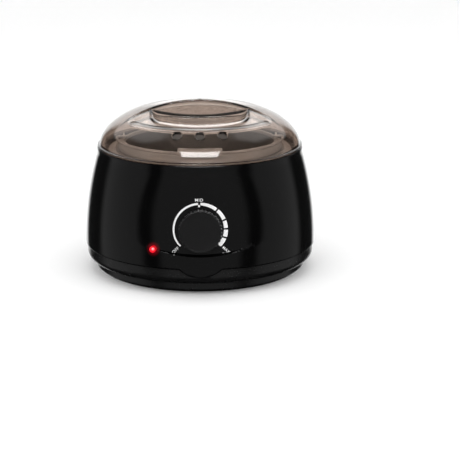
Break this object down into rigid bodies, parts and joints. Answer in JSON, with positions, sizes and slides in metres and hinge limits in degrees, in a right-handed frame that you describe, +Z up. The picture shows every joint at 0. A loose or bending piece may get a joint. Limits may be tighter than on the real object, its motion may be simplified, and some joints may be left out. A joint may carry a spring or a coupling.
{
  "type": "wax warmer",
  "caption": "Round black table-top wax warmer with smoked lift-off lid, removable pot with bail, rotary dial, red lamp and rubber feet.",
  "frame": {"origin": "on the vertical axis, on the plane of the plinth ring's underside; the rubber feet stand 1 mm below it", "axes": "+Z up, -Y out of the dial side (front), +X to the right seen from the front"},
  "size_m": [0.1858, 0.1983, 0.1382],
  "materials": {
    "black_abs": "satin",
    "base_abs": "satin",
    "deck_abs": "satin",
    "knob_abs": "satin",
    "smoked_pc": "gloss",
    "aluminium": "satin",
    "pot_aluminium": "satin",
    "steel": "satin",
    "bright_steel": "gloss",
    "rubber": "matte",
    "red_lens": "gloss",
    "lamp_glass": "gloss",
    "nylon": "matte",
    "ceramic": "matte",
    "wool": "matte",
    "brass": "satin",
    "wire_red": "satin",
    "wire_white": "satin",
    "wire_black": "satin"
  },
  "bodies": {
    "body": {"outer_housing": "black_abs", "base_cover": "base_abs", "rubber_feet": "rubber", "base_screws": "steel", "deck_ring": "deck_abs", "heating_chamber": "aluminium", "heater_band": "steel", "heater_clamp": "steel", "clamp_bolt": "steel", "insulation_sleeve": "wool", "chamber_bracket": "steel", "bracket_screws": "steel", "thermostat_body": "ceramic", "thermostat_nut": "steel", "indicator_lens": "red_lens", "indicator_lamp": "lamp_glass", "lamp_holder": "nylon", "thermal_fuse": "aluminium", "fuse_clip": "steel", "terminal_block": "nylon", "terminal_tubes": "brass", "cord_inlet": "black_abs", "inlet_nut": "nylon", "lead_block_to_thermostat": "wire_red", "lead_thermostat_to_fuse": "wire_red", "lead_fuse_to_heater": "wire_white", "lead_block_to_heater": "wire_white", "lead_block_to_lamp": "wire_black"},
    "knob": {"control_knob": "knob_abs", "thermostat_shaft": "brass", "knob_spring_clip": "steel"},
    "lid": {"lid_dome": "smoked_pc"},
    "pot": {"inner_pot": "pot_aluminium", "bail_ears": "pot_aluminium"},
    "bail": {"bail_wire": "bright_steel", "bail_grip": "bright_steel"}
  },
  "joints": [
    {"name": "knob_turn", "type": "hinge", "parent": "body", "child": "knob", "pos_m": [0, -0.08782, 0.0522], "axis": [0, 0.9903, -0.1392], "range_deg": [-129, 130]},
    {"name": "lid_lift", "type": "slide", "parent": "body", "child": "lid", "axis": [0, 0, 1], "range_m": [0, 0.26]},
    {"name": "pot_lift", "type": "slide", "parent": "body", "child": "pot", "axis": [0, 0, 1], "range_m": [0, 0.13]},
    {"name": "bail_swing", "type": "hinge", "parent": "pot", "child": "bail", "pos_m": [0, 0, 0.1062], "axis": [-1, 0, 0], "range_deg": [0, 179.6]}
  ],
  "couplings": [
    {"joint": "pot_lift", "follows": "lid_lift", "ratio": 0.5},
    {"joint": "bail_swing", "follows": "lid_lift", "rad_per_m": 6.0281}
  ]
}
